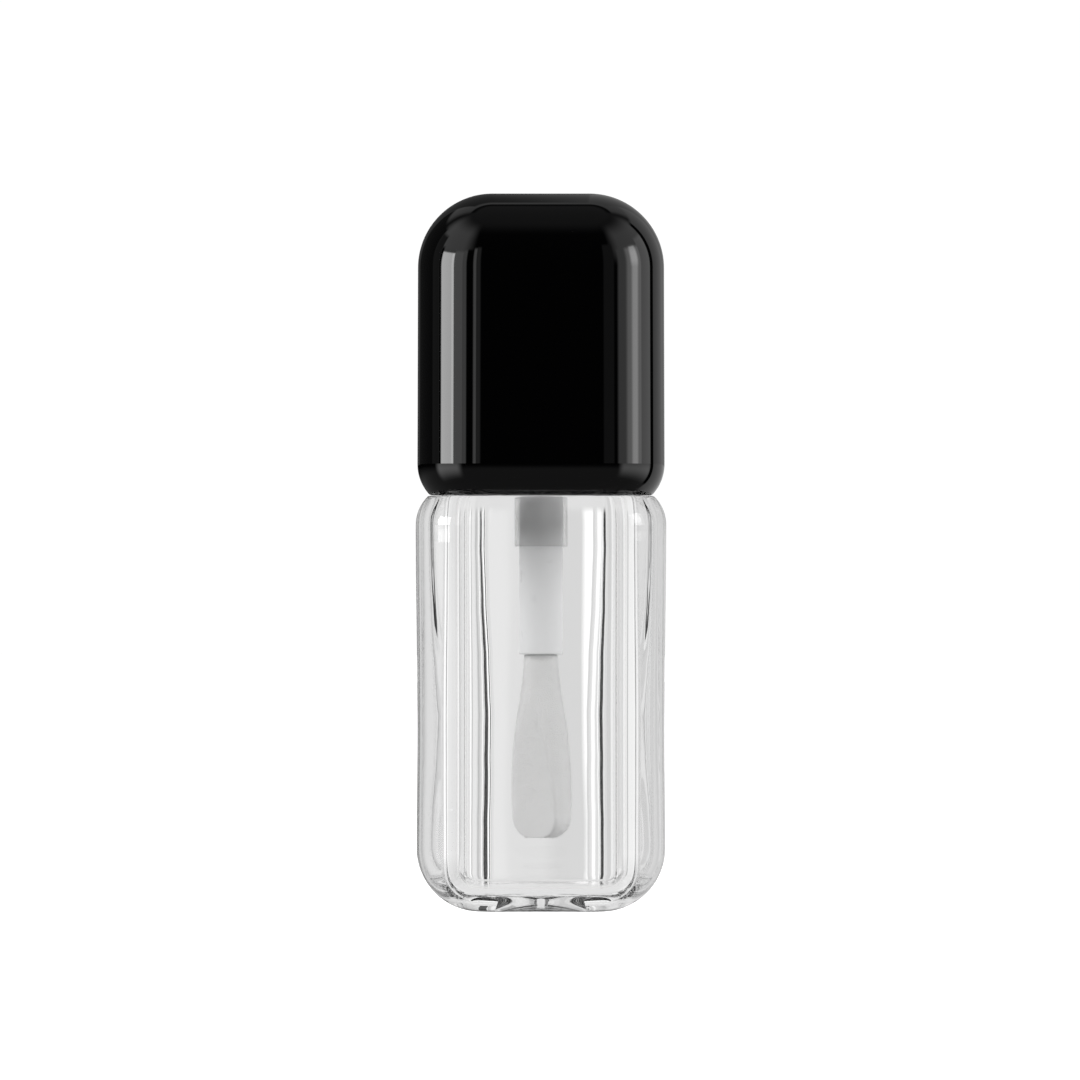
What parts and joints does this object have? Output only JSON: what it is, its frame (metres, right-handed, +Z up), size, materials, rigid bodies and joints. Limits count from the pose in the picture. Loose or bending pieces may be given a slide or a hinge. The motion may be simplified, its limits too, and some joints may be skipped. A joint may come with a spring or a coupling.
{
  "type": "lip gloss tube",
  "caption": "Square clear thick-walled lip gloss tube with a glossy black rounded screw cap that carries a wand with a flocked teardrop applicator.",
  "frame": {"origin": "centre of the square foot, on the surface the tube stands on", "axes": "+Z up along the wand, from the bottle's foot to the cap's top; +X and +Y square to the bottle's flat sides, with -Y the front"},
  "size_m": [0.025, 0.025, 0.0717],
  "materials": {
    "clear_bottle": "water-clear moulded copolyester, polished",
    "soft_wiper": "soft translucent polyethylene",
    "gloss_black": "high-gloss black moulding",
    "insert_black": "satin black polypropylene",
    "seal_white": "soft white sealing foam",
    "translucent_rod": "translucent natural plastic",
    "soft_core": "soft elastomer",
    "flock": "fine white flock"
  },
  "bodies": {
    "bottle": {"bottle": "clear_bottle", "wiper": "soft_wiper"},
    "liner": {"cap_liner": "seal_white"},
    "cap": {"cap_shell": "gloss_black", "inner_cap": "insert_black", "wand_rod": "translucent_rod", "applicator_core": "soft_core", "applicator_flock": "flock"}
  },
  "joints": [
    {"name": "cap_lift", "type": "slide", "parent": "bottle", "child": "liner", "axis": [0, 0, 1], "range_m": [0, 0.052], "deforming": ["wiper"]},
    {"name": "cap_turn", "type": "hinge", "parent": "liner", "child": "cap", "pos_m": [0, 0, 0.0563], "axis": [0, 0, 1], "range_deg": [0, 540]}
  ]
}
